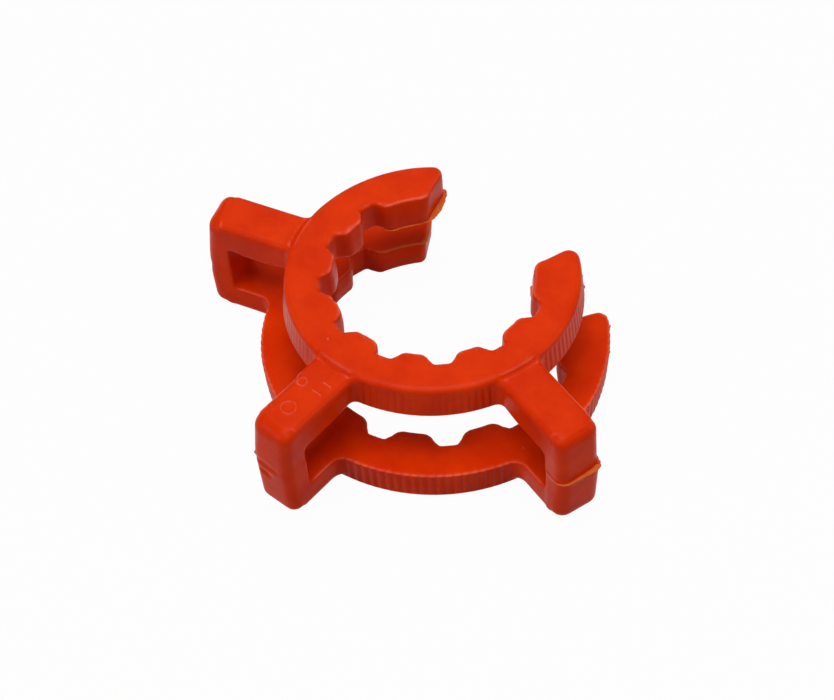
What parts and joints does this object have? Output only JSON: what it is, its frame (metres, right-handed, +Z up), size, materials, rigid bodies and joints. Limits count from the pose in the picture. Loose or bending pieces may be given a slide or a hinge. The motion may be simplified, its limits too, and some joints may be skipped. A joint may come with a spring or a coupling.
{
  "type": "ground glass joint clip",
  "caption": "One-piece red plastic push-on clip for a 29/32 ground glass joint: a small and a large open toothed ring tied by square loops.",
  "frame": {"origin": "on the joint axis, in the plane of the lower ring's top face, where the socket's rim rests", "axes": "+Z up the joint axis from the large ring to the small ring; +Y through the middle of the mouth; +X to the right when the middle loop points at the viewer"},
  "size_m": [0.062, 0.0482, 0.0168],
  "materials": {
    "red_plastic": "orange-red moulded acetal, satin gloss"
  },
  "bodies": {
    "root": {"clip": "red_plastic"}
  },
  "joints": []
}
